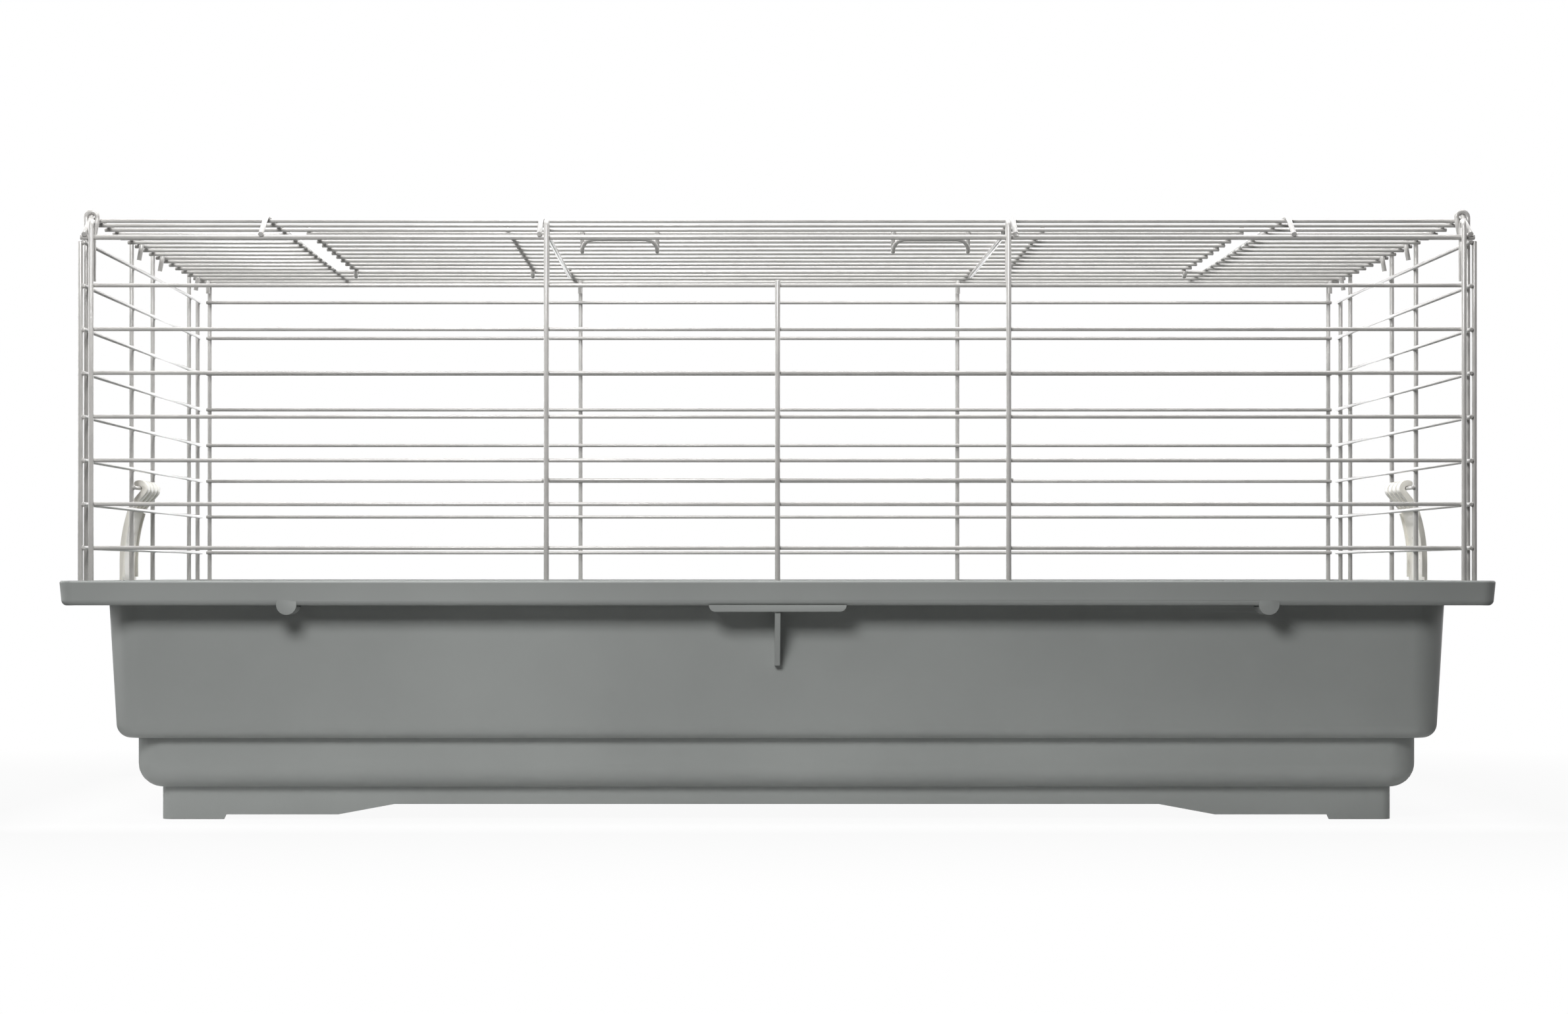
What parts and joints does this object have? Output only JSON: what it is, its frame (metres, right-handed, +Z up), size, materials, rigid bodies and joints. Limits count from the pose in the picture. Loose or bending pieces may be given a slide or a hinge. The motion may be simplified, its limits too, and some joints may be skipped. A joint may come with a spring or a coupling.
{
  "type": "rabbit hutch",
  "caption": "Indoor rabbit hutch: hooked white wire panels standing on a stepped grey plastic tray, with a hinged wire lid in the roof and a plastic clip on each side.",
  "frame": {"origin": "on the floor, under the middle of the tray", "axes": "+Z up, +X to the right when facing the front, front faces -Y"},
  "size_m": [1, 0.546, 0.4348],
  "materials": {
    "tray_plastic": "satin injection-moulded plastic, mid grey",
    "wire_coating": "smooth off-white powder coat on steel wire",
    "clip_plastic": "ivory moulded plastic, slightly glossy"
  },
  "bodies": {
    "cage": {"tray": "tray_plastic", "front_uprights": "wire_coating", "front_centre_upright": "wire_coating", "front_rungs": "wire_coating", "front_short_bar": "wire_coating", "back_uprights": "wire_coating", "back_rungs": "wire_coating", "left_frame": "wire_coating", "left_uprights": "wire_coating", "left_rungs": "wire_coating", "left_clip_wire": "wire_coating", "right_frame": "wire_coating", "right_uprights": "wire_coating", "right_rungs": "wire_coating", "right_clip_wire": "wire_coating", "roof_front_rail": "wire_coating", "roof_back_rail": "wire_coating", "roof_cross_wires": "wire_coating", "roof_lid_rests": "wire_coating", "roof_back_stubs": "wire_coating", "roof_long_rows": "wire_coating", "roof_left_rows": "wire_coating", "roof_right_rows": "wire_coating"},
    "lid": {"lid_rows": "wire_coating", "lid_cross_wires": "wire_coating"},
    "left_bow": {"left_bow": "wire_coating"},
    "right_bow": {"right_bow": "wire_coating"},
    "left_clip": {"left_clip": "clip_plastic"},
    "right_clip": {"right_clip": "clip_plastic"}
  },
  "joints": [
    {"name": "lid_hinge", "type": "hinge", "parent": "cage", "child": "lid", "pos_m": [0, 0.16775, 0.424], "axis": [-1, 0, 0], "range_deg": [0, 160]},
    {"name": "left_bow_hinge", "type": "hinge", "parent": "lid", "child": "left_bow", "pos_m": [-0.114, -0.13725, 0.42465], "axis": [-1, 0, 0], "continuous": true},
    {"name": "right_bow_hinge", "type": "hinge", "parent": "lid", "child": "right_bow", "pos_m": [0.114, -0.13725, 0.42465], "axis": [-1, 0, 0], "continuous": true},
    {"name": "left_clip_hinge", "type": "hinge", "parent": "cage", "child": "left_clip", "pos_m": [-0.48415, -0.011, 0.24], "axis": [0, 1, 0], "range_deg": [0, 100]},
    {"name": "right_clip_hinge", "type": "hinge", "parent": "cage", "child": "right_clip", "pos_m": [0.48415, -0.011, 0.24], "axis": [0, -1, 0], "range_deg": [0, 100]}
  ]
}
